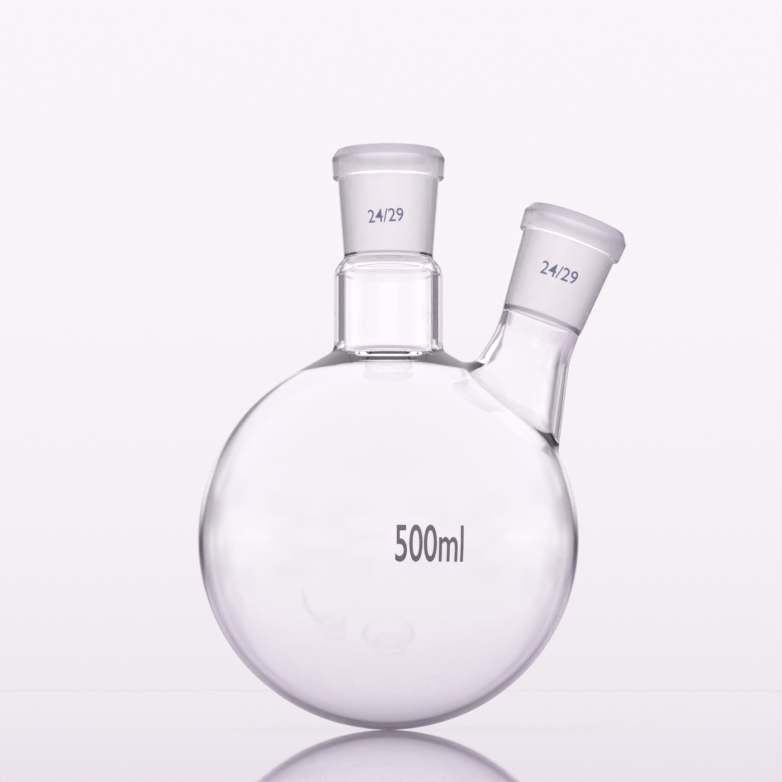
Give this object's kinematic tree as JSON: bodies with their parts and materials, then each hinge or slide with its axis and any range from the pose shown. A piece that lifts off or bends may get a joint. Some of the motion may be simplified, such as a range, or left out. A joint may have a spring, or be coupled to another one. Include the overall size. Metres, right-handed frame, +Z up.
{
  "type": "two-neck round-bottom flask",
  "caption": "Round-bottom glass flask with an upright centre neck and an angled side neck, both ending in ground conical sockets with rolled collars.",
  "frame": {"origin": "the lowest point of the bulb's outside, under the centre neck's axis", "axes": "+Z up along the centre neck, +X towards the leaning side neck, Y across the plane of symmetry"},
  "size_m": [0.1183, 0.105, 0.1602],
  "materials": {
    "clear_glass": "clear blown borosilicate, fire-polished, with the inside of both sockets ground to a fine frost",
    "blue_enamel": "thin fired ceramic enamel, slate blue, on the outside of the sockets",
    "grey_enamel": "thin fired ceramic enamel, grey, on the front of the bulb"
  },
  "bodies": {
    "root": {"flask": "clear_glass"}
  },
  "joints": []
}
